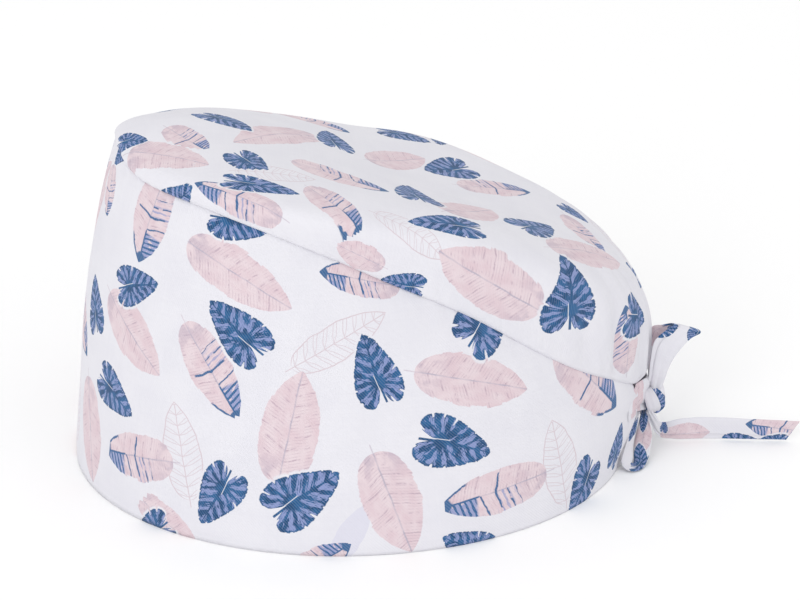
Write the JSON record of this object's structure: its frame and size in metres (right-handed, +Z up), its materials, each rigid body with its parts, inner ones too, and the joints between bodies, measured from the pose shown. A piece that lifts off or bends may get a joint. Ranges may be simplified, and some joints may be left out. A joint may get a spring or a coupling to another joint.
{
  "type": "surgical scrub cap",
  "caption": "Tie-back surgical scrub cap of printed cotton with a tall front, a soft crown and a bow at the back, standing on its rim.",
  "frame": {"origin": "middle of the head opening, on the surface that the rim stands on", "axes": "+X to the back, where the bow is; -X to the front; +Y to the far side; +Z up"},
  "size_m": [0.2668, 0.1768, 0.1308],
  "materials": {
    "cap_cloth": "woven cotton, white with a blue and pale pink leaf print",
    "tie_cloth": "the same printed woven cotton, folded into a narrow tie"
  },
  "bodies": {
    "root": {"side_band": "cap_cloth", "crown": "cap_cloth", "tie_knot": "tie_cloth", "near_tie_root": "tie_cloth", "far_tie_root": "tie_cloth", "upper_loop": "tie_cloth", "hanging_loop": "tie_cloth", "near_tail": "tie_cloth", "far_tail": "tie_cloth"}
  },
  "joints": []
}
